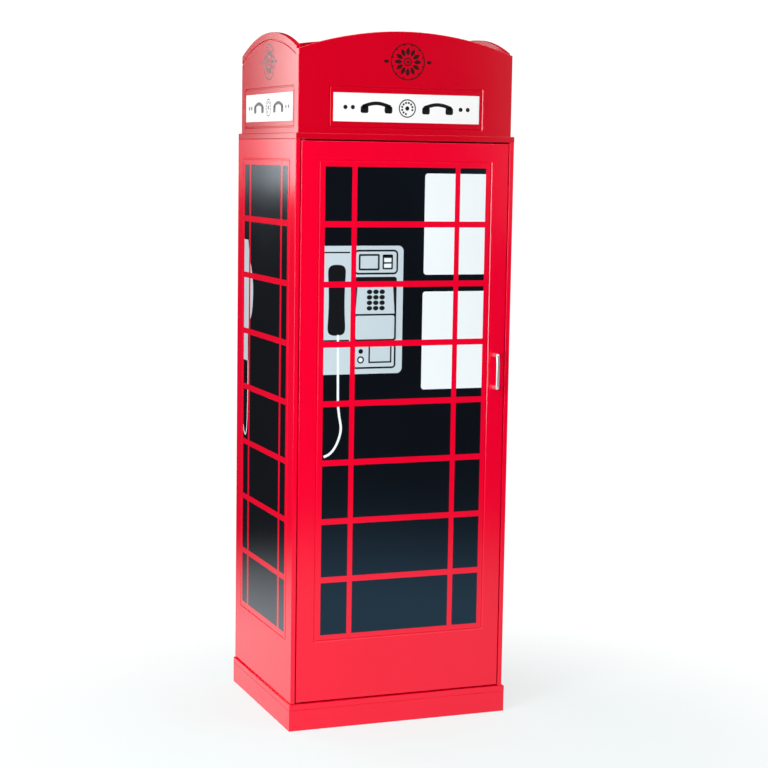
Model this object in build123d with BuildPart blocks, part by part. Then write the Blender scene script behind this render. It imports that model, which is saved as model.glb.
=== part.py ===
"""A wardrobe cabinet of lacquered board in the shape of an old red telephone kiosk.

Millimetres, +Z up, the door faces -Y. The origin is on the floor, at the middle of the footprint,
handle included. The carcass is boards on a plinth, with four arched boards round the top, and one
door on the front that turns on two upright pins.
"""

import os

from build123d import *

# ---------------------------------------------------------------- overall sizes
total_height = 1800.0
carcass_width = 600.0
carcass_depth = 500.0

# boards
side_thick = 12.0
door_thick = 15.0
top_thick = 15.0
base_thick = 15.0
plinth_thick = 18.0
crown_thick = 18.0
crown_side_thick = 12.0
back_thick = 6.0
shelf_thick = 15.0
edge_round = 1.5
seam_round = 1.0

# plinth and crown
plinth_height = 55.0
plinth_proud = 5.0
crown_end_height = 209.0
arch_rise = 51.0
crown_inset = 7.0
block_size = 28.0
plinth_block_short = 6.0
crown_block_short = 60.0

# door
gap_side = 3.0
gap_top = 4.0
gap_bottom = 3.5

# routed grooves: a V with a flat bottom
groove_wide = 5.0
groove_deep = 1.6
groove_corner = 3.0
groove_angle = 45.0
groove_margin = 48.5
groove_foot_margin = 159.0
arch_groove_drop = 20.0

# window prints: rows and columns of panes inside the groove
print_thick = 0.2
print_margin = 15.5
pane_rows = 8
bar_high = 15.5
bar_wide = 14.0
outer_pane_door = 72.0
outer_pane_side = 43.0

# sign plates
sign_wide = 400.0
sign_high = 72.0
sign_thick = 1.2
sign_corner = 1.0
sign_lift = 66.5
sign_groove_wide = 418.0
sign_groove_high = 102.0

# handle: a bow pull on two feet
handle_centres = 86.0
handle_height = 926.0
handle_from_edge = 29.0
handle_reach = 30.0
handle_bow = 3.0
handle_wide = 9.5
handle_bar_thick = 6.0
handle_foot = 9.0
handle_round = 2.2
handle_corner = 8.0
handle_screw_bite = 12.0

# door pivots
pivot_inset = 9.0
pin_r = 3.0
pin_clear = 0.05
pin_in_door = 22.0
pin_tip_short = 1.5
bush_r = 6.0
bush_long = 12.0
flange_r = 7.0
flange_clear = 0.3

# magnetic catch under the top panel, and its strike on the door
catch_wide = 46.0
catch_high = 15.0
catch_deep = 14.0
catch_from_edge = 60.0
magnet_wide = 22.0
magnet_high = 9.0
magnet_deep = 8.0
magnet_proud = 0.8
strike_wide = 38.0
strike_high = 12.0
strike_thick = 1.5
strike_clear = 0.4
strike_from_head = 1.0

# shelves, their pins and the clothes rail
shelf_heights = (330.0, 1215.0)
shelf_front_gap = 18.0
shelf_side_gap = 1.0
shelf_pin_r = 2.5
shelf_pin_out = 9.0
shelf_pin_in = 8.0
shelf_pin_from_edge = 60.0
rail_r = 12.5
rail_wall = 1.5
rail_below_shelf = 60.0
socket_r = 24.0
socket_thick = 4.0
socket_lip = 9.0
socket_wall = 2.5
socket_clear = 0.1
rail_end_clear = 0.5

# fasteners
bolt_r = 2.5
bolt_bite = 9.0
cam_r = 6.0
cam_deep = 9.5
cam_from_end = 24.0
bolt_from_edge = 60.0
screw_r = 1.5
screw_head_r = 3.2
screw_head_high = 1.5
screw_bite = 8.0
machine_screw_r = 2.0
machine_head_r = 4.2
machine_head_high = 2.4
back_screw_rows = 5
back_screw_from_end = 60.0
dowel_r = 4.0
dowel_in_top = 9.0
dowel_in_crown = 16.0
dowel_from_corner = 90.0

# ---------------------------------------------------------------- places worked out from the sizes
footprint_depth = carcass_depth + handle_reach
y_front = handle_reach - footprint_depth / 2
y_back = y_front + carcass_depth
y_mid = (y_front + y_back) / 2
y_back_panel = y_back - back_thick
x_out = carcass_width / 2
x_in = x_out - side_thick

z_base_top = plinth_height + base_thick
z_top_top = total_height - crown_end_height - arch_rise
z_top_under = z_top_top - top_thick
side_height = z_top_under - z_base_top

door_width = 2 * (x_in - gap_side)
z_door_foot = z_base_top + gap_bottom
z_door_head = z_top_under - gap_top
y_door_mid = y_front + door_thick / 2
y_door_back = y_front + door_thick
x_pivot = -door_width / 2 + pivot_inset
x_handle = door_width / 2 - handle_from_edge

z_groove_head = z_door_head - groove_margin
z_groove_foot = z_door_foot + groove_foot_margin
z_groove_mid = (z_groove_head + z_groove_foot) / 2
groove_high = z_groove_head - z_groove_foot
groove_wide_door = door_width - 2 * groove_margin
groove_wide_side = carcass_depth - 2 * groove_margin
glaze_high = groove_high - 2 * print_margin
pane_high = (glaze_high - (pane_rows - 1) * bar_high) / pane_rows

x_crown = x_out - crown_inset
y_crown_front = y_front + crown_inset
y_crown_back = y_back - crown_inset
y_crown_half = (y_crown_back - y_crown_front) / 2
z_sign = z_top_top + sign_lift

y_shelf_front = y_door_back + shelf_front_gap
y_shelf_mid = (y_shelf_front + y_back_panel) / 2
z_rail = shelf_heights[-1] - rail_below_shelf

# ---------------------------------------------------------------- places shared by boards and fasteners
bolt_xy = [
    (side * (x_out - side_thick / 2), y)
    for side in (-1, 1)
    for y in (y_front + bolt_from_edge, y_mid, y_back_panel - bolt_from_edge)
]
joint_ends = ((z_base_top, 1), (z_top_under, -1))
cam_ends = tuple(z_end + inward * cam_from_end for z_end, inward in joint_ends)
shelf_pin_yz = [
    (y, z - shelf_pin_r)
    for z in shelf_heights
    for y in (y_shelf_front + shelf_pin_from_edge, y_back_panel - shelf_pin_from_edge)
]
dowel_xy = [
    (x, y)
    for x in (-(x_crown - dowel_from_corner), 0, x_crown - dowel_from_corner)
    for y in (y_crown_front + crown_thick / 2, y_crown_back - crown_thick / 2)
] + [
    (side * (x_crown - crown_side_thick / 2), y)
    for side in (-1, 1)
    for y in (y_crown_front + dowel_from_corner, y_crown_back - dowel_from_corner)
]
back_screw_step = (side_height - 2 * back_screw_from_end) / (back_screw_rows - 1)
back_screw_xz = [
    (side * (x_out - side_thick / 2), z_base_top + back_screw_from_end + row * back_screw_step)
    for side in (-1, 1)
    for row in range(back_screw_rows)
]
rail_screw_out = (socket_r + rail_r + socket_wall) / 2
rail_screw_yz = [(y_shelf_mid - rail_screw_out, z_rail), (y_shelf_mid + rail_screw_out, z_rail)]
handle_foot_z = (handle_height - handle_centres / 2, handle_height + handle_centres / 2)
x_catch = door_width / 2 - catch_from_edge
y_catch_face = y_door_back + strike_thick + strike_clear + magnet_proud
catch_screw_xy = [
    (x_catch + end * (magnet_wide + catch_wide) / 4, y_catch_face + catch_deep / 2) for end in (-1, 1)
]
z_catch = z_top_under - catch_high / 2
z_strike = z_door_head - strike_from_head - strike_high / 2
strike_screw_x = [x_catch - strike_wide / 4, x_catch + strike_wide / 4]


def wall_plane(x, y, z, side):
    """A plane that looks along X, outward on the given side, with the sketch's own Y pointing up."""
    return Plane(origin=(x, y, z), x_dir=(0, side, 0), z_dir=(side, 0, 0))


def front_plane(x, y, z):
    """A plane that looks to the front, with the sketch's own X to the right and its Y up."""
    return Plane(origin=(x, y, z), x_dir=(1, 0, 0), z_dir=(0, -1, 0))


def back_plane(x, y, z):
    """A plane that looks to the back, with the sketch's own X to the left and its Y up."""
    return Plane(origin=(x, y, z), x_dir=(-1, 0, 0), z_dir=(0, 1, 0))


def lies_on(edge, plane):
    """Whether an edge lies in a plane, told by how far its middle is from it."""
    return abs(plane.to_local_coords(edge.center()).Z) < seam_round / 2


def groove_ring(wide, high, lift=0):
    """A groove seen square on: a band round a rectangle, given by its centre line and its middle's height."""
    with BuildSketch() as ring:
        with Locations((0, lift)):
            RectangleRounded(wide + groove_wide, high + groove_wide, groove_corner)
            RectangleRounded(wide - groove_wide, high - groove_wide, groove_corner / 2, mode=Mode.SUBTRACT)
    return ring.sketch


def arched_board(half_arc, low, high):
    """An arched board's face with its foot at the sketch's origin: one arc over the span, cut at two ends."""
    with BuildSketch() as board:
        with BuildLine():
            left, right = (-half_arc, crown_end_height), (half_arc, crown_end_height)
            Polyline(left, (-half_arc, 0), (half_arc, 0), right)
            ThreePointArc(left, (0, crown_end_height + arch_rise), right)
        make_face()
        with Locations(((low + high) / 2, 0)):
            Rectangle(high - low, 2 * (crown_end_height + arch_rise), mode=Mode.INTERSECT)
    return board.sketch


def arch_band(half_arc):
    """A groove that follows the arch a little below it, run out past both ends of the board."""
    arc_r = (half_arc**2 + arch_rise**2) / (2 * arch_rise)
    groove_r = arc_r - arch_groove_drop
    with BuildSketch() as band:
        with Locations((0, crown_end_height + arch_rise - arc_r)):
            Circle(groove_r + groove_wide / 2)
            Circle(groove_r - groove_wide / 2, mode=Mode.SUBTRACT)
        with Locations((0, crown_end_height)):
            Rectangle(2 * half_arc + 4 * groove_wide, 2 * arch_rise, mode=Mode.INTERSECT)
    return band.sketch


def pane_grid(wide, outer):
    """The panes of one window print: a wide column between two narrow ones, in equal rows."""
    step = pane_high + bar_high
    with BuildSketch() as panes:
        with GridLocations(wide - outer, step, 2, pane_rows):
            Rectangle(outer, pane_high)
        with GridLocations(0, step, 1, pane_rows):
            Rectangle(wide - 2 * outer - 2 * bar_wide, pane_high)
    return panes.sketch


def save(part, name):
    """Names a finished piece and writes it as its own file."""
    part.label = name
    export_step(part, f"parts/{name}.step")


os.makedirs("parts", exist_ok=True)

# ---------------------------------------------------------------- plinth and base panel
with BuildPart() as base_panel:
    with BuildSketch(Plane.XY.offset(plinth_height)):
        with Locations((0, y_mid - plinth_proud / 2)):
            Rectangle(carcass_width + 2 * plinth_proud, carcass_depth + plinth_proud)
    extrude(amount=base_thick)
    fillet(base_panel.faces().sort_by(Axis.Z)[-1].edges(), edge_round)
    fillet(base_panel.faces().sort_by(Axis.Z)[0].edges(), seam_round)
    with BuildSketch(Plane.XY.offset(z_base_top)):
        with Locations(*bolt_xy):
            Circle(bolt_r)
    extrude(amount=-bolt_bite, mode=Mode.SUBTRACT)
    with BuildSketch(Plane.XY.offset(z_base_top)):
        with Locations((x_pivot, y_door_mid)):
            Circle(bush_r)
    extrude(amount=-bush_long, mode=Mode.SUBTRACT)
save(base_panel.part, "base_panel")

plinth_wide = carcass_width + 2 * plinth_proud
plinth_boards = {
    "plinth_front": (plinth_wide, plinth_thick, 0, y_front - plinth_proud + plinth_thick / 2),
    "plinth_back": (plinth_wide, plinth_thick, 0, y_back - plinth_thick / 2),
}
for name, side in (("plinth_left", -1), ("plinth_right", 1)):
    plinth_boards[name] = (
        plinth_thick,
        carcass_depth + plinth_proud - 2 * plinth_thick,
        side * (x_out + plinth_proud - plinth_thick / 2),
        y_mid - plinth_proud / 2,
    )
for name, (long_x, long_y, x_board, y_board) in plinth_boards.items():
    with BuildPart() as plinth_board:
        with BuildSketch():
            with Locations((x_board, y_board)):
                Rectangle(long_x, long_y)
        extrude(amount=plinth_height)
        fillet(plinth_board.edges().filter_by(Axis.Z), seam_round)
        fillet(plinth_board.faces().sort_by(Axis.Z)[-1].edges(), seam_round)
    save(plinth_board.part, name)

block_x = x_out + plinth_proud - plinth_thick - block_size / 2
block_y = (y_front - plinth_proud + plinth_thick + block_size / 2, y_back - plinth_thick - block_size / 2)
with BuildPart() as plinth_blocks:
    with BuildSketch(Plane.XY.offset(plinth_block_short)):
        with Locations(*[(x, y) for x in (-block_x, block_x) for y in block_y]):
            Rectangle(block_size, block_size)
    extrude(amount=plinth_height - plinth_block_short)
save(plinth_blocks.part, "plinth_blocks")

# ---------------------------------------------------------------- side panels and their window prints
for hand, side in (("left", -1), ("right", 1)):
    x_board = side * (x_out - side_thick / 2)
    with BuildPart() as side_panel:
        with BuildSketch(Plane.XY.offset(z_base_top)):
            with Locations((x_board, (y_front + y_back_panel) / 2)):
                Rectangle(side_thick, y_back_panel - y_front)
        extrude(amount=side_height)
        fillet(side_panel.edges().filter_by(Axis.Z).group_by(Axis.Y)[0], edge_round)
        outer_wall = wall_plane(side * x_out, 0, 0, side)
        outer_ends = side_panel.edges().filter_by(Axis.Y).filter_by(lambda edge: lies_on(edge, outer_wall))
        fillet(outer_ends, seam_round)
        with BuildSketch(wall_plane(side * x_out, y_mid, z_groove_mid, side)):
            add(groove_ring(groove_wide_side, groove_high))
        extrude(amount=-groove_deep, taper=groove_angle, mode=Mode.SUBTRACT)
        for z_end, inward in joint_ends:
            with BuildSketch(Plane.XY.offset(z_end)):
                with Locations(*[(x, y) for x, y in bolt_xy if x * side > 0]):
                    Circle(bolt_r)
            extrude(amount=inward * cam_from_end, mode=Mode.SUBTRACT)
        with BuildSketch(wall_plane(side * x_in, 0, 0, side)):
            with Locations(*[(side * y, z) for x, y in bolt_xy if x * side > 0 for z in cam_ends]):
                Circle(cam_r)
        extrude(amount=cam_deep, mode=Mode.SUBTRACT)
        with BuildSketch(wall_plane(side * x_in, 0, 0, side)):
            with Locations(*[(side * y, z) for y, z in shelf_pin_yz]):
                Circle(shelf_pin_r)
        extrude(amount=shelf_pin_in, mode=Mode.SUBTRACT)
        with BuildSketch(wall_plane(side * x_in, 0, 0, side)):
            with Locations(*[(side * y, z) for y, z in rail_screw_yz]):
                Circle(screw_r)
        extrude(amount=screw_bite, mode=Mode.SUBTRACT)
        with BuildSketch(back_plane(0, y_back_panel, 0)):
            with Locations(*[(-x, z) for x, z in back_screw_xz if x * side > 0]):
                Circle(screw_r)
        extrude(amount=-screw_bite, mode=Mode.SUBTRACT)
    save(side_panel.part, f"side_panel_{hand}")

    with BuildPart() as window_print:
        with BuildSketch(wall_plane(side * x_out, y_mid, z_groove_mid, side)):
            add(pane_grid(groove_wide_side - 2 * print_margin, outer_pane_side))
        extrude(amount=print_thick)
    save(window_print.part, f"window_print_{hand}")

# ---------------------------------------------------------------- back panel
with BuildPart() as back_panel:
    with BuildSketch(back_plane(0, y_back, z_base_top + side_height / 2)):
        Rectangle(carcass_width, side_height)
    extrude(amount=-back_thick)
    with BuildSketch(back_plane(0, y_back, 0)):
        with Locations(*[(-x, z) for x, z in back_screw_xz]):
            Circle(screw_r)
    extrude(amount=-back_thick, mode=Mode.SUBTRACT)
    with BuildSketch(back_plane(0, y_back, 0)):
        with Locations(*[(-x, z) for x, z in back_screw_xz]):
            Circle(screw_head_r)
    extrude(amount=-screw_head_high, taper=groove_angle, mode=Mode.SUBTRACT)
save(back_panel.part, "back_panel")

with BuildPart() as back_screws:
    with BuildSketch(back_plane(0, y_back_panel - screw_bite, 0)):
        with Locations(*[(-x, z) for x, z in back_screw_xz]):
            Circle(screw_r)
    extrude(amount=screw_bite + back_thick)
    with BuildSketch(back_plane(0, y_back, 0)):
        with Locations(*[(-x, z) for x, z in back_screw_xz]):
            Circle(screw_head_r)
    extrude(amount=-screw_head_high, taper=groove_angle)
save(back_screws.part, "back_screws")

# ---------------------------------------------------------------- top panel
with BuildPart() as top_panel:
    with BuildSketch(Plane.XY.offset(z_top_under)):
        with Locations((0, y_mid)):
            Rectangle(carcass_width, carcass_depth)
    extrude(amount=top_thick)
    fillet(top_panel.faces().sort_by(Axis.Z)[-1].edges(), edge_round)
    fillet(top_panel.faces().sort_by(Axis.Z)[0].edges(), seam_round)
    with BuildSketch(Plane.XY.offset(z_top_under)):
        with Locations(*bolt_xy):
            Circle(bolt_r)
    extrude(amount=bolt_bite, mode=Mode.SUBTRACT)
    with BuildSketch(Plane.XY.offset(z_top_under)):
        with Locations((x_pivot, y_door_mid)):
            Circle(bush_r)
    extrude(amount=bush_long, mode=Mode.SUBTRACT)
    with BuildSketch(Plane.XY.offset(z_top_under)):
        with Locations(*catch_screw_xy):
            Circle(screw_r)
    extrude(amount=screw_bite, mode=Mode.SUBTRACT)
    with BuildSketch(Plane.XY.offset(z_top_top)):
        with Locations(*dowel_xy):
            Circle(dowel_r)
    extrude(amount=-dowel_in_top, mode=Mode.SUBTRACT)
save(top_panel.part, "top_panel")

# ---------------------------------------------------------------- cams and bolts that draw the carcass together
with BuildPart() as cams:
    for side in (-1, 1):
        with BuildSketch(wall_plane(side * x_in, 0, 0, side)):
            with Locations(*[(side * y, z) for x, y in bolt_xy if x * side > 0 for z in cam_ends]):
                Circle(cam_r)
        extrude(amount=cam_deep)
save(cams.part, "cams")

with BuildPart() as cam_bolts:
    for z_end, inward in joint_ends:
        with BuildSketch(Plane.XY.offset(z_end - inward * bolt_bite)):
            with Locations(*bolt_xy):
                Circle(bolt_r)
        extrude(amount=inward * (bolt_bite + cam_from_end))
    add(cams.part, mode=Mode.SUBTRACT)
save(cam_bolts.part, "cam_bolts")

# ---------------------------------------------------------------- crown: four arched boards, blocks and dowels
crown_boards = {
    "crown_front": (front_plane(0, y_crown_front, z_top_top), crown_thick, x_crown, -x_crown, x_crown),
    "crown_back": (
        back_plane(0, y_crown_back, z_top_top),
        crown_thick,
        x_crown,
        crown_side_thick - x_crown,
        x_crown - crown_side_thick,
    ),
    "crown_left": (
        wall_plane(-x_crown, y_mid, z_top_top, -1),
        crown_side_thick,
        y_crown_half,
        -y_crown_half,
        y_crown_half - crown_thick,
    ),
    "crown_right": (
        wall_plane(x_crown, y_mid, z_top_top, 1),
        crown_side_thick,
        y_crown_half,
        crown_thick - y_crown_half,
        y_crown_half,
    ),
}
for name, (outer_face, thick, half_arc, low, high) in crown_boards.items():
    with BuildPart() as crown_board:
        with BuildSketch(outer_face):
            add(arched_board(half_arc, low, high))
        extrude(amount=-thick)
        rim = crown_board.edges().filter_by(lambda edge: lies_on(edge, outer_face))
        rim = rim.filter_by(lambda edge: edge.center().Z > z_top_top + seam_round)
        if name != "crown_front":
            rim = rim.filter_by(GeomType.CIRCLE)
        fillet(rim, edge_round)
        if name != "crown_back":
            with BuildSketch(outer_face):
                add(groove_ring(sign_groove_wide, sign_groove_high, sign_lift))
            extrude(amount=-groove_deep, taper=groove_angle, mode=Mode.SUBTRACT)
        if name in ("crown_left", "crown_right"):
            with BuildSketch(outer_face):
                add(arch_band(half_arc))
            extrude(amount=-groove_deep, taper=groove_angle, mode=Mode.SUBTRACT)
        with BuildSketch(Plane.XY.offset(z_top_top)):
            with Locations(*dowel_xy):
                Circle(dowel_r)
        extrude(amount=dowel_in_crown, mode=Mode.SUBTRACT)
    save(crown_board.part, name)

with BuildPart() as crown_dowels:
    with BuildSketch(Plane.XY.offset(z_top_top - dowel_in_top)):
        with Locations(*dowel_xy):
            Circle(dowel_r)
    extrude(amount=dowel_in_top + dowel_in_crown)
save(crown_dowels.part, "crown_dowels")

crown_block_x = x_crown - crown_side_thick - block_size / 2
crown_block_y = (y_crown_front + crown_thick + block_size / 2, y_crown_back - crown_thick - block_size / 2)
with BuildPart() as crown_blocks:
    with BuildSketch(Plane.XY.offset(z_top_top)):
        with Locations(*[(x, y) for x in (-crown_block_x, crown_block_x) for y in crown_block_y]):
            Rectangle(block_size, block_size)
    extrude(amount=crown_end_height - crown_block_short)
save(crown_blocks.part, "crown_blocks")

for name, plate_plane in (
    ("sign_plate_front", front_plane(0, y_crown_front, z_sign)),
    ("sign_plate_left", wall_plane(-x_crown, y_mid, z_sign, -1)),
    ("sign_plate_right", wall_plane(x_crown, y_mid, z_sign, 1)),
):
    with BuildPart() as sign_plate:
        with BuildSketch(plate_plane):
            RectangleRounded(sign_wide, sign_high, sign_corner)
        extrude(amount=sign_thick)
    save(sign_plate.part, name)

# ---------------------------------------------------------------- shelves, pins and clothes rail
for name, z_shelf in zip(("shelf_lower", "shelf_upper"), shelf_heights):
    with BuildPart() as shelf:
        with BuildSketch(Plane.XY.offset(z_shelf)):
            with Locations((0, y_shelf_mid)):
                Rectangle(2 * (x_in - shelf_side_gap), y_back_panel - y_shelf_front)
        extrude(amount=shelf_thick)
        fillet(shelf.faces().sort_by(Axis.Y)[0].edges().filter_by(Axis.X), edge_round)
    save(shelf.part, name)

with BuildPart() as shelf_pins:
    for side in (-1, 1):
        with BuildSketch(wall_plane(side * (x_in - shelf_pin_out), 0, 0, side)):
            with Locations(*[(side * y, z) for y, z in shelf_pin_yz]):
                Circle(shelf_pin_r)
        extrude(amount=shelf_pin_out + shelf_pin_in)
save(shelf_pins.part, "shelf_pins")

rail_half = x_in - socket_thick - rail_end_clear
with BuildPart() as clothes_rail:
    with BuildSketch(wall_plane(-rail_half, y_shelf_mid, z_rail, 1)):
        Circle(rail_r)
        Circle(rail_r - rail_wall, mode=Mode.SUBTRACT)
    extrude(amount=2 * rail_half)
save(clothes_rail.part, "clothes_rail")

with BuildPart() as rail_sockets:
    for side in (-1, 1):
        with BuildSketch(wall_plane(side * x_in, y_shelf_mid, z_rail, side)):
            Circle(socket_r)
        extrude(amount=-socket_thick)
        with BuildSketch(wall_plane(side * (x_in - socket_thick), y_shelf_mid, z_rail, side)):
            Circle(rail_r + socket_clear + socket_wall)
            Circle(rail_r + socket_clear, mode=Mode.SUBTRACT)
        extrude(amount=-socket_lip)
        with BuildSketch(wall_plane(side * x_in, 0, 0, side)):
            with Locations(*[(side * y, z) for y, z in rail_screw_yz]):
                Circle(screw_r)
        extrude(amount=-socket_thick, mode=Mode.SUBTRACT)
save(rail_sockets.part, "rail_sockets")

with BuildPart() as rail_screws:
    for side in (-1, 1):
        for x_start, radius, length in (
            (x_in - socket_thick, screw_r, socket_thick + screw_bite),
            (x_in - socket_thick - screw_head_high, screw_head_r, screw_head_high),
        ):
            with BuildSketch(wall_plane(side * x_start, 0, 0, side)):
                with Locations(*[(side * y, z) for y, z in rail_screw_yz]):
                    Circle(radius)
            extrude(amount=length)
save(rail_screws.part, "rail_screws")

# ---------------------------------------------------------------- magnetic catch
with BuildPart() as catch_body:
    with BuildSketch(front_plane(x_catch, y_catch_face, z_catch)):
        RectangleRounded(catch_wide, catch_high, edge_round)
    extrude(amount=-catch_deep)
    with BuildSketch(front_plane(x_catch, y_catch_face, z_catch)):
        Rectangle(magnet_wide, magnet_high)
    extrude(amount=-magnet_deep, mode=Mode.SUBTRACT)
    for radius, depth in ((screw_r, catch_high), (screw_head_r, screw_head_high)):
        with BuildSketch(Plane.XY.offset(z_top_under - catch_high)):
            with Locations(*catch_screw_xy):
                Circle(radius)
        extrude(amount=depth, mode=Mode.SUBTRACT)
save(catch_body.part, "catch_body")

with BuildPart() as catch_magnet:
    with BuildSketch(front_plane(x_catch, y_catch_face - magnet_proud, z_catch)):
        Rectangle(magnet_wide, magnet_high)
    extrude(amount=-(magnet_deep + magnet_proud))
save(catch_magnet.part, "catch_magnet")

with BuildPart() as catch_screws:
    for radius, length in ((screw_r, catch_high + screw_bite), (screw_head_r, screw_head_high)):
        with BuildSketch(Plane.XY.offset(z_top_under - catch_high)):
            with Locations(*catch_screw_xy):
                Circle(radius)
        extrude(amount=length)
save(catch_screws.part, "catch_screws")

# ---------------------------------------------------------------- door
with BuildPart() as door:
    with BuildSketch(front_plane(0, y_front, (z_door_foot + z_door_head) / 2)):
        Rectangle(door_width, z_door_head - z_door_foot)
    extrude(amount=-door_thick)
    fillet(door.faces().sort_by(Axis.Y)[0].edges(), edge_round)
    with BuildSketch(front_plane(0, y_front, z_groove_mid)):
        add(groove_ring(groove_wide_door, groove_high))
    extrude(amount=-groove_deep, taper=groove_angle, mode=Mode.SUBTRACT)
    for z_end, inward in ((z_door_foot, 1), (z_door_head, -1)):
        with BuildSketch(Plane.XY.offset(z_end)):
            with Locations((x_pivot, y_door_mid)):
                Circle(pin_r)
        extrude(amount=inward * pin_in_door, mode=Mode.SUBTRACT)
    with BuildSketch(front_plane(x_handle, y_front, 0)):
        with Locations(*[(0, z) for z in handle_foot_z]):
            Circle(machine_screw_r)
    extrude(amount=-door_thick, mode=Mode.SUBTRACT)
    with BuildSketch(back_plane(0, y_door_back, z_strike)):
        with Locations(*[(-x, 0) for x in strike_screw_x]):
            Circle(screw_r)
    extrude(amount=-screw_bite, mode=Mode.SUBTRACT)
save(door.part, "door")

with BuildPart() as window_print_door:
    with BuildSketch(front_plane(0, y_front, z_groove_mid)):
        add(pane_grid(groove_wide_door - 2 * print_margin, outer_pane_door))
    extrude(amount=print_thick)
save(window_print_door.part, "window_print_door")

# ---------------------------------------------------------------- handle
half_handle = (handle_centres + handle_foot) / 2
reach_end = handle_reach - handle_bow
with BuildPart() as handle:
    with BuildSketch(Plane(origin=(x_handle, y_front, handle_height), x_dir=(0, -1, 0), z_dir=(-1, 0, 0))):
        with BuildLine():
            Polyline((reach_end, -half_handle), (0, -half_handle), (0, half_handle), (reach_end, half_handle))
            ThreePointArc((reach_end, half_handle), (handle_reach, 0), (reach_end, -half_handle))
        make_face()
        with BuildLine():
            inner = half_handle - handle_foot
            Polyline(
                (reach_end - handle_bar_thick, -inner),
                (0, -inner),
                (0, inner),
                (reach_end - handle_bar_thick, inner),
            )
            ThreePointArc(
                (reach_end - handle_bar_thick, inner),
                (handle_reach - handle_bar_thick, 0),
                (reach_end - handle_bar_thick, -inner),
            )
        make_face(mode=Mode.SUBTRACT)
    extrude(amount=handle_wide / 2, both=True)
    outer_corners = handle.edges().filter_by(Axis.X).group_by(Axis.Y)[0]
    fillet(outer_corners, handle_corner)
    long_edges = handle.edges().filter_by(lambda edge: edge.center().Y < y_front - handle_round)
    fillet(long_edges.filter_by(Axis.X, reverse=True), handle_round)
    with BuildSketch(front_plane(x_handle, y_front, 0)):
        with Locations(*[(0, z) for z in handle_foot_z]):
            Circle(machine_screw_r)
    extrude(amount=handle_screw_bite, mode=Mode.SUBTRACT)
save(handle.part, "handle")


# ---------------------------------------------------------------- handle screws
with BuildPart() as handle_screws:
    for y_start, radius, length in (
        (y_door_back, machine_screw_r, door_thick + handle_screw_bite),
        (y_door_back + machine_head_high, machine_head_r, machine_head_high),
    ):
        with BuildSketch(front_plane(x_handle, y_start, 0)):
            with Locations(*[(0, z) for z in handle_foot_z]):
                Circle(radius)
        extrude(amount=length)
save(handle_screws.part, "handle_screws")

# ---------------------------------------------------------------- strike plate on the door
with BuildPart() as strike_plate:
    with BuildSketch(back_plane(x_catch, y_door_back, z_strike)):
        Rectangle(strike_wide, strike_high)
    extrude(amount=strike_thick)
    with BuildSketch(back_plane(0, y_door_back + strike_thick, z_strike)):
        with Locations(*[(-x, 0) for x in strike_screw_x]):
            Circle(screw_head_r)
    extrude(amount=-strike_thick, taper=groove_angle, mode=Mode.SUBTRACT)
save(strike_plate.part, "strike_plate")

with BuildPart() as strike_screws:
    with BuildSketch(back_plane(0, y_door_back + strike_thick, z_strike)):
        with Locations(*[(-x, 0) for x in strike_screw_x]):
            Circle(screw_head_r)
    extrude(amount=-strike_thick, taper=groove_angle)
    with BuildSketch(back_plane(0, y_door_back, z_strike)):
        with Locations(*[(-x, 0) for x in strike_screw_x]):
            Circle(screw_r)
    extrude(amount=-screw_bite)
save(strike_screws.part, "strike_screws")

# ---------------------------------------------------------------- door pivots: bush in the panel, pin in the door
for name, z_panel, z_end, inward in (
    ("bottom", z_base_top, z_door_foot, 1),
    ("top", z_top_under, z_door_head, -1),
):
    gap = abs(z_end - z_panel)
    with BuildPart() as pivot_bush:
        with BuildSketch(Plane.XY.offset(z_panel)):
            with Locations((x_pivot, y_door_mid)):
                Circle(bush_r)
                Circle(pin_r + pin_clear, mode=Mode.SUBTRACT)
        extrude(amount=-inward * bush_long)
        with BuildSketch(Plane.XY.offset(z_panel)):
            with Locations((x_pivot, y_door_mid)):
                Circle(flange_r)
                Circle(pin_r + pin_clear, mode=Mode.SUBTRACT)
        extrude(amount=inward * (gap - flange_clear))
    save(pivot_bush.part, f"pivot_bush_{name}")

    with BuildPart() as pivot_pin:
        with BuildSketch(Plane.XY.offset(z_end + inward * pin_in_door)):
            with Locations((x_pivot, y_door_mid)):
                Circle(pin_r)
        extrude(amount=-inward * (pin_in_door + gap + bush_long - pin_tip_short))
    save(pivot_pin.part, f"pivot_pin_{name}")
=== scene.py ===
"""A red kiosk-shaped wardrobe: lacquered boards, printed film, a bow pull and the fittings inside."""

import math

import bpy
import numpy as np
from mathutils import Matrix, Vector


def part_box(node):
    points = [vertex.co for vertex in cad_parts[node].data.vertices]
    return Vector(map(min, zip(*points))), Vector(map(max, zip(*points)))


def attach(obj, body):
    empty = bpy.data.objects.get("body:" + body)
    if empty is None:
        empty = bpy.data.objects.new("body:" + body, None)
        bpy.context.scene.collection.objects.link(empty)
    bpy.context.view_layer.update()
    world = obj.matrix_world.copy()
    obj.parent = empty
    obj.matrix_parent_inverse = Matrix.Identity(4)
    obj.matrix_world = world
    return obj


# ------------------------------------------------------------------ the cabinet and the view of it
# The joined boards, hardware and hinge come as they were designed. The viewer stands to the left
# of the door at eye height, a little over four and a half metres away, with a long lens.
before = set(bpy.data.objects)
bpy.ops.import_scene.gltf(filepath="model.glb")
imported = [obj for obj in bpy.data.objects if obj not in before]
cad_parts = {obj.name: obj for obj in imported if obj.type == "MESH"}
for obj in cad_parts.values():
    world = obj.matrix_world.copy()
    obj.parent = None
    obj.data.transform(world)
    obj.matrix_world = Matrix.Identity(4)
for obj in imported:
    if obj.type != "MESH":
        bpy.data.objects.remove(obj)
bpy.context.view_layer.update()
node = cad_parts
mm = 0.001

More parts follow.
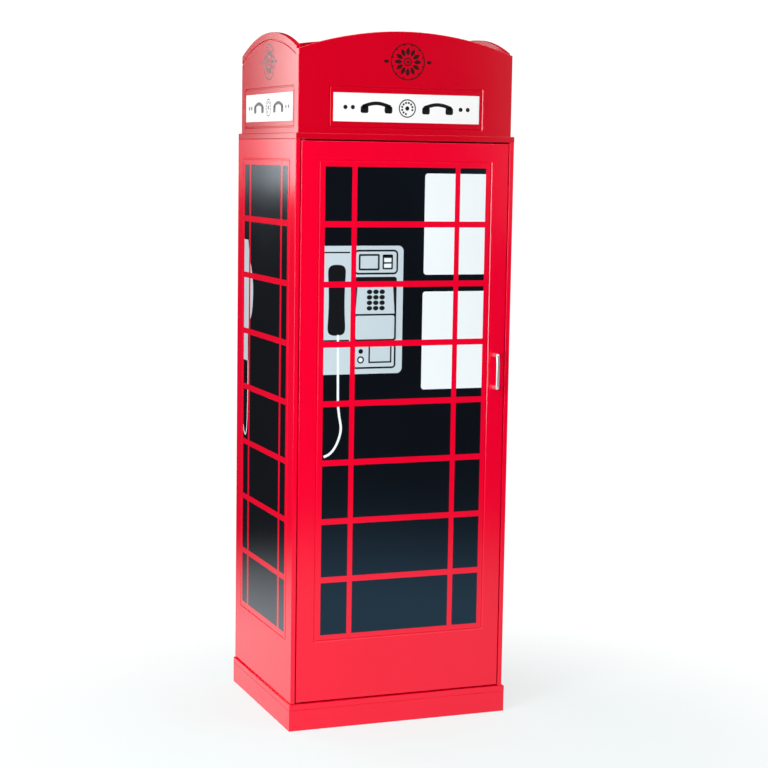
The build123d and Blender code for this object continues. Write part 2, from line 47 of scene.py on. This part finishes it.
view_from = Vector((-1797, -4747, 1481)) * mm
sensor_mm, lens_mm = 36, 88.35
view_yaw, view_pitch, view_roll = math.radians(21.12), math.radians(6.847), math.radians(0.905)
forward = Vector(
    (
        math.sin(view_yaw) * math.cos(view_pitch),
        math.cos(view_yaw) * math.cos(view_pitch),
        -math.sin(view_pitch),
    )
)
level_right = Vector((math.cos(view_yaw), -math.sin(view_yaw), 0))
level_up = level_right.cross(forward)
camera_right = level_right * math.cos(view_roll) + level_up * math.sin(view_roll)
camera_up = level_up * math.cos(view_roll) - level_right * math.sin(view_roll)
camera = bpy.data.objects.new("camera", bpy.data.cameras.new("camera"))
bpy.context.scene.collection.objects.link(camera)
camera.data.sensor_width = sensor_mm
camera.data.lens = lens_mm
camera_turn = Matrix((camera_right, camera_up, -forward)).transposed().to_4x4()
camera.matrix_world = Matrix.Translation(view_from) @ camera_turn
bpy.context.scene.camera = camera

# ------------------------------------------------------------------ lacquered boards
# Fibreboard, routed, primed and sprayed with red gloss lacquer. The spray leaves a fine orange
# peel, so reflections are soft-edged, and the film is a touch uneven over a board's length.


def linear(hex_colour):
    """sRGB hex to linear: a channel is c / 12.92 up to 0.04045, and ((c + 0.055) / 1.055) ^ 2.4 above."""
    channel = np.array([int(hex_colour[place : place + 2], 16) for place in (1, 3, 5)]) / 255
    value = np.where(channel <= 0.04045, channel / 12.92, ((channel + 0.055) / 1.055) ** 2.4)
    return (*value.tolist(), 1.0)


def add_node(finish, kind, settings=(), links=()):
    """Adds a node to a finish, with its settings by name and its links as socket: (node, output)."""
    made = finish.node_tree.nodes.new(kind)
    for name, value in dict(settings).items():
        if name in made.inputs:
            made.inputs[name].default_value = value
        else:
            setattr(made, name, value)
    for socket, (other, output) in dict(links).items():
        finish.node_tree.links.new(other.outputs[output], made.inputs[socket])
    return made


def blank_finish(name):
    """A finish with nothing in it yet."""
    finish = bpy.data.materials.new(name)
    finish.use_nodes = True
    finish.node_tree.nodes.clear()
    return finish


def coated_finish(
    name, low, high, rough, grain_mm, relief_mm, ior=1.45, metallic=0.0, cloud_mm=260.0, glint="#FFFFFF"
):
    """A smooth coat: two close colours in slow clouds, uneven gloss, and fine relief of one size."""
    finish = blank_finish(name)
    place = add_node(finish, "ShaderNodeTexCoord")
    cloud = add_node(
        finish,
        "ShaderNodeTexNoise",
        {"Scale": 1 / (cloud_mm * mm), "Detail": 3.0},
        {"Vector": (place, "Object")},
    )
    tint = add_node(
        finish,
        "ShaderNodeMixRGB",
        {"Color1": linear(low), "Color2": linear(high)},
        {"Fac": (cloud, 0)},
    )
    gloss = add_node(
        finish,
        "ShaderNodeMapRange",
        {"To Min": rough * 0.85, "To Max": rough * 1.15},
        {"Value": (cloud, 0)},
    )
    grain = add_node(
        finish,
        "ShaderNodeTexNoise",
        {"Scale": 1 / (grain_mm * mm), "Detail": 2.0},
        {"Vector": (place, "Object")},
    )
    relief = add_node(
        finish,
        "ShaderNodeBump",
        {"Strength": 1.0, "Distance": relief_mm * mm},
        {"Height": (grain, 0)},
    )
    surface = add_node(
        finish,
        "ShaderNodeBsdfPrincipled",
        {"IOR": ior, "Metallic": metallic, "Specular Tint": linear(glint)},
        {"Base Color": (tint, 0), "Roughness": (gloss, 0), "Normal": (relief, 0)},
    )
    add_node(finish, "ShaderNodeOutputMaterial", {}, {"Surface": (surface, 0)})
    return finish


def coat(finish, *names):
    """Gives a finish to the named pieces of the cabinet."""
    for name in names:
        node[name].data.materials.clear()
        node[name].data.materials.append(finish)


red_lacquer = coated_finish("red_gloss_lacquer", "#EA002B", "#F20030", 0.15, 3.0, 0.008)
# The top and crown boards wear the same red lacquer as the rest, painted darker: painted shade for the
# crown, which the lamps light less.
shaded_crown_lacquer = coated_finish("red_gloss_lacquer_painted_shade", "#C9001D", "#D00021", 0.15, 3.0, 0.008)
coat(red_lacquer, "base_panel", "plinth_front", "plinth_back", "plinth_left", "plinth_right")
coat(red_lacquer, "side_panel_left", "side_panel_right", "back_panel", "door")
coat(shaded_crown_lacquer, "top_panel", "crown_front", "crown_back", "crown_left", "crown_right")

# ------------------------------------------------------------------ window film
# Black vinyl film, one piece for each pane, stuck on the lacquer inside the routed groove with the
# red board left bare between the pieces as glazing bars. It is a smooth gloss plastic.
film_gloss = coated_finish("black_vinyl_film", "#0A0C11", "#0E1116", 0.17, 2.2, 0.004, 1.6, glint="#8FD0FF")
coat(film_gloss, "window_print_door", "window_print_left", "window_print_right")

pane_rows = 8
bar_high = 15.5
bar_wide = 14.0
outer_pane_door = 72.0
outer_pane_side = 43.0


def film_face(name, right, outward):
    """A face in mm: where its middle stands, which way is right and out, its half width and its ends."""
    low, high = (np.array(corner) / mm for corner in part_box(name))
    right, outward = np.array(right, float), np.array(outward, float)
    middle = (low + high) / 2
    surface = np.where(outward > 0, high, low)
    start = np.where(outward != 0, surface, np.where(right != 0, middle, 0))
    half = float(abs(right @ (high - low)) / 2)
    return {"start": start, "right": right, "out": outward, "half": half, "foot": low[2], "head": high[2]}


def panes(face, outer):
    """Each pane's lowest and highest corner: a wide column between two narrow ones, in equal rows."""
    half = face["half"]
    inner = half - outer - bar_wide
    columns = [(-half, outer - half), (-inner, inner), (half - outer, half)]
    step = (face["head"] - face["foot"] + bar_high) / pane_rows
    feet = [face["foot"] + row * step for row in range(pane_rows)]
    rows = [(foot, foot + step - bar_high) for foot in feet]
    return [((left, foot), (right, head)) for left, right in columns for foot, head in rows]


door_film = film_face("window_print_door", (1, 0, 0), (0, -1, 0))
left_film = film_face("window_print_left", (0, -1, 0), (-1, 0, 0))
right_film = film_face("window_print_right", (0, 1, 0), (1, 0, 0))
door_panes = panes(door_film, outer_pane_door)
left_panes = panes(left_film, outer_pane_side)
right_panes = panes(right_film, outer_pane_side)

# ------------------------------------------------------------------ the pictures printed on the film
# Flat inks over the black film, laid one over another and cut where the film is cut: pale grey for
# the payphone's case, black for its lines, handset and blank keys, white for its cord and notices.
ink_thick = 0.03


def clipped(outline, low, high):
    """What an upright rectangle keeps of an outline: corners inside stay, and crossings are added."""
    for axis, way, limit in ((0, 1, low[0]), (0, -1, high[0]), (1, 1, low[1]), (1, -1, high[1])):
        inside = way * (outline[:, axis] - limit)
        inside_next = np.roll(inside, -1)
        crossing = (inside >= 0) != (inside_next >= 0)
        share = np.where(crossing, inside / np.where(crossing, inside - inside_next, 1), 0)
        cut = outline + share[:, None] * (np.roll(outline, -1, axis=0) - outline)
        outline = np.stack([outline, cut], 1)[np.stack([inside >= 0, crossing], 1)]
    return outline


def area(outline):
    """The shoelace sum: half of every x times the next y, less every y times the next x."""
    x, y = outline.T
    return float(x @ np.roll(y, -1) - y @ np.roll(x, -1)) / 2


def lay_ink(name, outlines, windows, face, layer, ink, body):
    """One ink layer: outlines cut by windows, turned into the face's plane, over the layers below."""
    kept = [clipped(np.asarray(outline, float), *window) for outline in outlines for window in windows]
    kept = [outline for outline in kept if len(outline) > 2 and area(outline) > 0.01]
    flat = np.concatenate(kept)
    lift = face["start"] + face["out"] * ink_thick * (layer - 1)
    corners = lift + flat[:, :1] * face["right"] + flat[:, 1:] * np.array((0, 0, 1.0))
    ends = np.cumsum([len(outline) for outline in kept])
    faces = [list(range(end - len(outline), end)) for outline, end in zip(kept, ends.tolist())]
    mesh = bpy.data.meshes.new(name)
    mesh.from_pydata((corners * mm).tolist(), [], faces)
    mesh.materials.append(ink)
    piece = bpy.data.objects.new(name, mesh)
    bpy.context.scene.collection.objects.link(piece)
    wall = piece.modifiers.new("ink", "SOLIDIFY")
    wall.thickness = ink_thick * mm
    wall.offset = 1
    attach(piece, body)
    return piece


def rounded(left, right, foot, head, radius):
    """A rectangle with a quarter circle at each corner, anticlockwise from the upper right."""
    turn = np.linspace(0, math.pi / 2, 9) + np.arange(4)[:, None] * math.pi / 2
    middle_x = np.array([right - radius, left + radius, left + radius, right - radius])[:, None]
    middle_z = np.array([head - radius, head - radius, foot + radius, foot + radius])[:, None]
    return np.stack([middle_x + radius * np.cos(turn), middle_z + radius * np.sin(turn)], -1).reshape(-1, 2)


def oval(x, z, wide, high):
    """An ellipse: the cosine times half the width, the sine times half the height."""
    turn = np.linspace(0, 2 * math.pi, 32, endpoint=False)
    return np.stack([x + wide / 2 * np.cos(turn), z + high / 2 * np.sin(turn)], 1)


def tiles(outer, inner):
    """A line drawn round a shape: one four-cornered tile for each step along two matching outlines."""
    return list(np.stack([outer, np.roll(outer, -1, 0), np.roll(inner, -1, 0), inner], 1))


def line_round(left, right, foot, head, radius, width):
    """An even line just inside a rounded rectangle."""
    inner = rounded(left + width, right - width, foot + width, head - width, max(radius - width, 0.4))
    return tiles(rounded(left, right, foot, head, radius), inner)


def smooth(points):
    """A smooth line through points: Catmull-Rom, a cubic of each point and its three neighbours."""
    points = np.array(points, float)
    ends = np.vstack([2 * points[0] - points[1], points, 2 * points[-1] - points[-2]])
    a, b, c, d = ends[:-3], ends[1:-2], ends[2:-1], ends[3:]
    t = np.linspace(0, 1, 12, endpoint=False)[:, None, None]
    curve = (2 * b + (c - a) * t + (2 * a - 5 * b + 4 * c - d) * t**2 + (3 * b - a - 3 * c + d) * t**3) / 2
    return np.vstack([curve.transpose(1, 0, 2).reshape(-1, 2), points[-1:]])


def stroke(path, width):
    """An even line along a path: tiles between the path moved half the width to each side."""
    along = np.gradient(path, axis=0)
    along /= np.linalg.norm(along, axis=1)[:, None]
    side = np.stack([-along[:, 1], along[:, 0]], 1) * width / 2
    right_edge, left_edge = path - side, path + side
    return list(np.stack([right_edge[:-1], right_edge[1:], left_edge[1:], left_edge[:-1]], 1))


grey_ink = coated_finish("pale_grey_ink", "#C1D0D8", "#C6D6DE", 0.3, 1.6, 0.004)
black_ink = coated_finish("black_ink", "#0C0E12", "#12151A", 0.28, 1.6, 0.004)
white_ink = coated_finish("white_ink", "#EDF4F8", "#F2F9FC", 0.3, 1.6, 0.004)

case_right, case_head, case_foot = -6.0, 1257.0, 928.0
case = rounded(-260, case_right, case_foot, case_head, 14)

grip_middle, grip_mid_z, grip_half_long = -187.0, 1118.5, 90.5
grip_waist, grip_flare = 21.4, 4.8
grip_turn = np.linspace(-math.pi / 2, math.pi / 2, 61)
grip_along = np.sin(grip_turn)
grip_half = (grip_waist + grip_flare * grip_along**2) * (1 - np.abs(grip_along) ** 12) ** 0.4
grip_z = grip_mid_z + grip_half_long * grip_along
handset = np.vstack(
    [
        np.stack([grip_middle + grip_half, grip_z], 1),
        np.stack([grip_middle - grip_half, grip_z], 1)[::-1],
    ]
)
key_columns, key_rows = (-97.7, -80.4, -63.1), (1139.0, 1125.0, 1111.0, 1097.0)
key_wide, key_high = 15.0, 11.8
button_x, button_z = -119.9, 964.4
cord_wide, side_cord_wide = 6.2, 5.0
behind_bar = -141.0
case_lines = (
    [handset]
    + [rounded(-260, -152, 1238.4, 1242.0, 0.4), rounded(-260, -152, 1013.4, 1017.2, 0.4)]
    + line_round(behind_bar, -20.5, 1183.5, 1247.0, 12, 4.8)
    + line_round(behind_bar, -23.5, 941.0, 1004.0, 10, 4.8)
    + [rounded(behind_bar, -23.5, 1013.0, 1177.4, 7)]
)
keypad = np.array([(-135.5, 1082.6), (-28.4, 1082.6), (-33.3, 1151.7), (-131.0, 1151.7)])
panel_fields = [keypad, rounded(-135.4, -28.6, 1017.2, 1078.0, 5)]
panel_lines = (
    line_round(-128.5, -71.5, 1194.2, 1236.0, 4, 4.8)
    + line_round(-63.5, -35.0, 1196.4, 1234.6, 3, 4.0)
    + [rounded(-62.0, -37.0, 1226.0, 1233.6, 1), rounded(-62.0, -37.0, 1211.2, 1214.8, 0.4)]
    + [oval(x, z, key_wide, key_high) for x in key_columns for z in key_rows]
    + [oval(-119.7, 986.3, 12.4, 12.4)]
    + tiles(oval(button_x, button_z, 19, 19), oval(button_x, button_z, 11.8, 11.8))
    + line_round(-98.4, -35.0, 955.5, 1003.0, 1.5, 4.0)
)
cord_path = smooth(
    [(-182.5, 1030), (-181.2, 940), (-180, 857), (-176.5, 822), (-171.5, 790)]
    + [(-176, 764), (-188, 738), (-202, 723), (-217, 716)]
)
lay_ink("payphone_case", [case], door_panes, door_film, 1, grey_ink, "door")
lay_ink("payphone_lines", case_lines, door_panes, door_film, 2, black_ink, "door")
lay_ink("payphone_panels", panel_fields, door_panes, door_film, 3, grey_ink, "door")
lay_ink("payphone_keys", panel_lines, door_panes, door_film, 4, black_ink, "door")
payphone_whites = (
    stroke(cord_path[::-1], cord_wide)
    + [oval(button_x, button_z, 10.6, 10.6), rounded(-58.6, -39.9, 1215.8, 1225.0, 1)]
    + [rounded(-58.6, -39.9, 1201.2, 1210.2, 1)]
)
lay_ink("payphone_cord", payphone_whites, door_panes, door_film, 5, white_ink, "door")
notices = [rounded(50.5, 260, 1181.9, 1442.4, 8), rounded(49.0, 260, 882.8, 1138.3, 8)]
lay_ink("notices", notices, door_panes, door_film, 1, white_ink, "door")

case_side_edge = smooth(
    [(-148, 925), (-148, 1000), (-133, 1034), (-116, 1056), (-107, 1085), (-104, 1117)]
    + [(-107, 1145), (-117, 1172), (-131, 1198), (-143, 1226), (-151, 1254.5)]
)
case_side = np.vstack([case_side_edge, [(-260, 1254.5), (-260, 925)]])
side_cord = smooth(
    [(-187, 744), (-180, 728), (-168, 720), (-158, 731), (-152, 760), (-149, 810), (-147, 860), (-147, 927)]
)
mirror = np.array((-1.0, 1.0))
lay_ink("payphone_side_left", [case_side], left_panes, left_film, 1, grey_ink, "carcass")
cord_strokes = stroke(side_cord, side_cord_wide)
lay_ink("side_cord_left", cord_strokes, left_panes, left_film, 1, white_ink, "carcass")
case_mirrored = [case_side[::-1] * mirror]
lay_ink("payphone_side_right", case_mirrored, right_panes, right_film, 1, grey_ink, "carcass")
cord_mirrored = stroke(side_cord[::-1] * mirror, side_cord_wide)
lay_ink("side_cord_right", cord_mirrored, right_panes, right_film, 1, white_ink, "carcass")

# ------------------------------------------------------------------ sign plates
# White acrylic plates stuck inside a routed frame on the crown. They carry plain black pictograms:
# a dial between two handsets, with dots at the ends.
acrylic = coated_finish("white_acrylic", "#F4F4F4", "#FAFAFA", 0.2, 4.0, 0.004)
coat(acrylic, "sign_plate_front", "sign_plate_left", "sign_plate_right")

plate_mid = float(sum(corner[2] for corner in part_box("sign_plate_front"))) / 2 / mm
uncut = [((-400, 0), (400, 4000))]


def handset_mark(x, z):
    """A lying handset: an arched bar over two cups, the arch a shallow sine."""
    across = np.linspace(-38, 38, 31)
    bar = np.stack([x + across, z + 2 + 9 * np.cos(across / 38 * math.pi / 2)], 1)
    cups = [rounded(x - 43, x - 22, z - 14, z + 4, 5), rounded(x + 22, x + 43, z - 14, z + 4, 5)]
    return stroke(bar[::-1], 9) + cups


def dial_mark(x, z):
    """A dial: a ring round a wheel of finger holes."""
    hole_ring, hole_wide = 14.5, 5.6
    turns = np.radians(np.arange(10) * 30 - 15).tolist()
    places = [(x + hole_ring * math.cos(turn), z + hole_ring * math.sin(turn)) for turn in turns]
    holes = [oval(hole_x, hole_z, hole_wide, hole_wide) for hole_x, hole_z in places]
    return tiles(oval(x, z, 47, 47), oval(x, z, 41, 41)) + holes + [oval(x, z, 11, 11)]


plate_marks = dial_mark(0, plate_mid) + handset_mark(-84, plate_mid) + handset_mark(84, plate_mid)
plate_marks += [oval(x, plate_mid, 11, 11) for x in (-148, -168, 148, 168)]

sign_faces = {
    "front": film_face("sign_plate_front", (1, 0, 0), (0, -1, 0)),
    "left": film_face("sign_plate_left", (0, -1, 0), (-1, 0, 0)),
    "right": film_face("sign_plate_right", (0, 1, 0), (1, 0, 0)),
}
for side_name, sign_face in sign_faces.items():
    marks_name = f"sign_marks_{side_name}"
    lay_ink(marks_name, plate_marks, uncut, sign_face, 1, black_ink, "carcass")

# ------------------------------------------------------------------ the ornament over each sign
# A plain rosette screen-printed in dark ink straight on the crown's lacquer.
ornament_ink = coated_finish("dark_red_ink", "#30030A", "#3A060E", 0.3, 1.6, 0.004)
ornament_mid = 1724.0


def petal(x, z, turn, near, far, wide):
    """A pointed petal: a sine-shaped bulge on both sides of a spoke from near to far."""
    share = np.linspace(0, 1, 13)
    bulge = wide / 2 * np.sin(math.pi * share)
    spoke = near + (far - near) * share
    edge = np.vstack([np.stack([spoke, -bulge], 1), np.stack([spoke, bulge], 1)[-2:0:-1]])
    cos, sin = math.cos(turn), math.sin(turn)
    return edge @ np.array([(cos, sin), (-sin, cos)]) + (x, z)


rosette = [petal(0, ornament_mid, turn, 15, 37, 11) for turn in np.radians(np.arange(12) * 30).tolist()]
rosette += tiles(oval(0, ornament_mid, 94, 94), oval(0, ornament_mid, 88, 88))
rosette += tiles(oval(0, ornament_mid, 22, 22), oval(0, ornament_mid, 15, 15))
rosette += [oval(0, ornament_mid, 8, 8)]
rosette += [
    oval(42 * math.cos(turn), ornament_mid + 42 * math.sin(turn), 4.2, 4.2)
    for turn in np.radians(np.arange(12) * 30 + 15).tolist()
]
rosette += [petal(0, ornament_mid, turn, 50, 67, 9) for turn in (0, math.pi)]

for side_name, sign_face in sign_faces.items():
    crown_face = film_face(f"crown_{side_name}", sign_face["right"], sign_face["out"])
    crown_face["start"] = np.where(sign_face["right"] != 0, sign_face["start"], crown_face["start"])
    ornament_name = f"ornament_{side_name}"
    lay_ink(ornament_name, rosette, uncut, crown_face, 1, ornament_ink, "carcass")

# ------------------------------------------------------------------ pull, rail and small hardware
# The pull and the rail are polished chrome plate; screws, cams, pins and strike are zinc plate,
# duller and a little blue. The catch's case and the pivot bushes are moulded black nylon.
plating = {"metallic": 1.0}
chrome_plate = coated_finish("satin_chrome_plate", "#F6F6F7", "#FAFAFB", 0.42, 1.2, 0.0005, **plating)
zinc_plate = coated_finish("zinc_plate", "#B9BEC4", "#C7CBD0", 0.38, 0.9, 0.004, cloud_mm=14.0, **plating)
moulded_black = coated_finish("moulded_black_nylon", "#17171A", "#1C1C1F", 0.5, 0.8, 0.01)
ferrite = coated_finish("ferrite_magnet", "#2C2C2E", "#38383A", 0.6, 0.8, 0.02, cloud_mm=9.0)
coat(chrome_plate, "handle", "clothes_rail", "rail_sockets")
coat(zinc_plate, "back_screws", "cams", "cam_bolts", "shelf_pins", "rail_screws", "catch_screws")
coat(zinc_plate, "handle_screws", "strike_plate", "strike_screws", "pivot_pin_bottom", "pivot_pin_top")
coat(moulded_black, "catch_body", "pivot_bush_bottom", "pivot_bush_top")
coat(ferrite, "catch_magnet")

# ------------------------------------------------------------------ shelves and glue blocks
# The shelves are chipboard faced with white melamine, with its fine pebbled press mark. The blocks
# and dowels are planed softwood, with growth rings that run along the block.
melamine = coated_finish("white_melamine", "#E9E9E6", "#F0F0EE", 0.42, 1.4, 0.02)
coat(melamine, "shelf_lower", "shelf_upper")

softwood = blank_finish("planed_softwood")
wood_place = add_node(softwood, "ShaderNodeTexCoord")
wood_along = add_node(
    softwood,
    "ShaderNodeMapping",
    {"Scale": (1, 1, 0.06)},
    {"Vector": (wood_place, "Object")},
)
rings = add_node(
    softwood,
    "ShaderNodeTexWave",
    {"wave_type": "RINGS", "Scale": 1 / (9 * mm), "Distortion": 3.0, "Detail": 3.0},
    {"Vector": (wood_along, 0)},
)
wood_tint = add_node(
    softwood,
    "ShaderNodeMixRGB",
    {"Color1": linear("#D9B98A"), "Color2": linear("#B98F5C")},
    {"Fac": (rings, 1)},
)
wood_grain = {"Strength": 1.0, "Distance": 0.05 * mm}
wood_relief = add_node(softwood, "ShaderNodeBump", wood_grain, {"Height": (rings, 1)})
wood_surface = add_node(
    softwood,
    "ShaderNodeBsdfPrincipled",
    {"Roughness": 0.65},
    {"Base Color": (wood_tint, 0), "Normal": (wood_relief, 0)},
)
add_node(softwood, "ShaderNodeOutputMaterial", {}, {"Surface": (wood_surface, 0)})
coat(softwood, "plinth_blocks", "crown_blocks", "crown_dowels")

# ------------------------------------------------------------------ floor and lights
# A white studio: a floor sheet lit from below that fades out at its rim, two soft keys from the left,
# a weak fill on the right, a wide overhead, and a reflector behind that the left side mirrors.
paper = coated_finish("white_paper_floor", "#6E7F7E", "#748584", 0.9, 4.0, 0.01)
floor_reach, floor_forward = 3.4, 0.4
glow_near, glow_far = 0.71, 1.03
lit_fade, rim_fade = (0.5, 1.5), (1.2, 2.9)
paper_end = next(made for made in paper.node_tree.nodes if made.type == "OUTPUT_MATERIAL")
paper_surface = next(made for made in paper.node_tree.nodes if made.type == "BSDF_PRINCIPLED")
paper_surface.inputs["Emission Color"].default_value = (1, 1, 1, 1)
paper_surface.inputs["Emission Strength"].default_value = glow_near
paper_place = add_node(paper, "ShaderNodeTexCoord")
paper_from = add_node(
    paper,
    "ShaderNodeMapping",
    {"Location": (0, floor_forward, 0)},
    {"Vector": (paper_place, "Object")},
)
paper_out = add_node(paper, "ShaderNodeVectorMath", {"operation": "LENGTH"}, {0: (paper_from, 0)})
paper_glow = add_node(paper, "ShaderNodeEmission", {"Strength": glow_far})
paper_gone = add_node(paper, "ShaderNodeBsdfTransparent")
paper_top = (paper_surface, 0)
for (near, far), beyond in ((lit_fade, paper_glow), (rim_fade, paper_gone)):
    fade = {"interpolation_type": "SMOOTHSTEP", "From Min": near, "From Max": far}
    paper_fade = add_node(paper, "ShaderNodeMapRange", fade, {"Value": (paper_out, "Value")})
    layers = {0: (paper_fade, 0), 1: paper_top, 2: (beyond, 0)}
    paper_mix = add_node(paper, "ShaderNodeMixShader", {}, layers)
    paper_top = (paper_mix, 0)
paper.node_tree.links.new(paper_mix.outputs[0], paper_end.inputs["Surface"])
floor_mesh = bpy.data.meshes.new("floor")
floor_turn = np.linspace(0, 2 * math.pi, 96, endpoint=False)
floor_rim = floor_reach * np.stack([np.cos(floor_turn), np.sin(floor_turn), 0 * floor_turn], 1)
floor_mesh.from_pydata(floor_rim.tolist(), [], [list(range(len(floor_turn)))])
floor_mesh.materials.append(paper)
floor = bpy.data.objects.new("floor", floor_mesh)
bpy.context.scene.collection.objects.link(floor)


def softbox(name, stand, aim, wide, high, power):
    """A rectangular soft light of a given size that looks from where it stands to its aim."""
    lamp = bpy.data.lights.new(name, "AREA")
    lamp.shape = "RECTANGLE"
    lamp.size, lamp.size_y = wide, high
    lamp.energy = power
    holder = bpy.data.objects.new(name, lamp)
    look = (Vector(aim) - Vector(stand)).to_track_quat("-Z", "Y")
    holder.matrix_world = Matrix.Translation(stand) @ look.to_matrix().to_4x4()
    bpy.context.scene.collection.objects.link(holder)


softbox("front_key", (-2.0, -3.2, 2.1), (0, 0, 1.3), 2.6, 2.4, 61)
softbox("left_key", (-3.0, -2.0, 1.4), (-0.3, 0, 1.1), 1.2, 2.2, 95)
softbox("right_fill", (2.35, -3.0, 2.05), (0.3, -0.2, 1.7), 1.5, 1.8, 8)
softbox("overhead", (0, 0, 4.6), (0, 0, 0), 5.0, 5.0, 200)
softbox("left_reflector", (-2.4, 4.0, 2.2), (-0.3, 0, 1.5), 1.5, 1.78, 34)

studio = bpy.data.worlds.new("studio")
studio.use_nodes = True
studio.node_tree.nodes.clear()
seen = add_node(studio, "ShaderNodeLightPath")
dim_air = add_node(studio, "ShaderNodeBackground", {"Color": (1, 1, 1, 1), "Strength": 0.02})
white_air = add_node(studio, "ShaderNodeBackground", {"Color": (1, 1, 1, 1), "Strength": 1.05})
air_layers = {0: (seen, "Is Camera Ray"), 1: (dim_air, 0), 2: (white_air, 0)}
air = add_node(studio, "ShaderNodeMixShader", {}, air_layers)
add_node(studio, "ShaderNodeOutputWorld", {}, {"Surface": (air, 0)})
bpy.context.scene.world = studio
bpy.context.scene.view_settings.view_transform = "Standard"
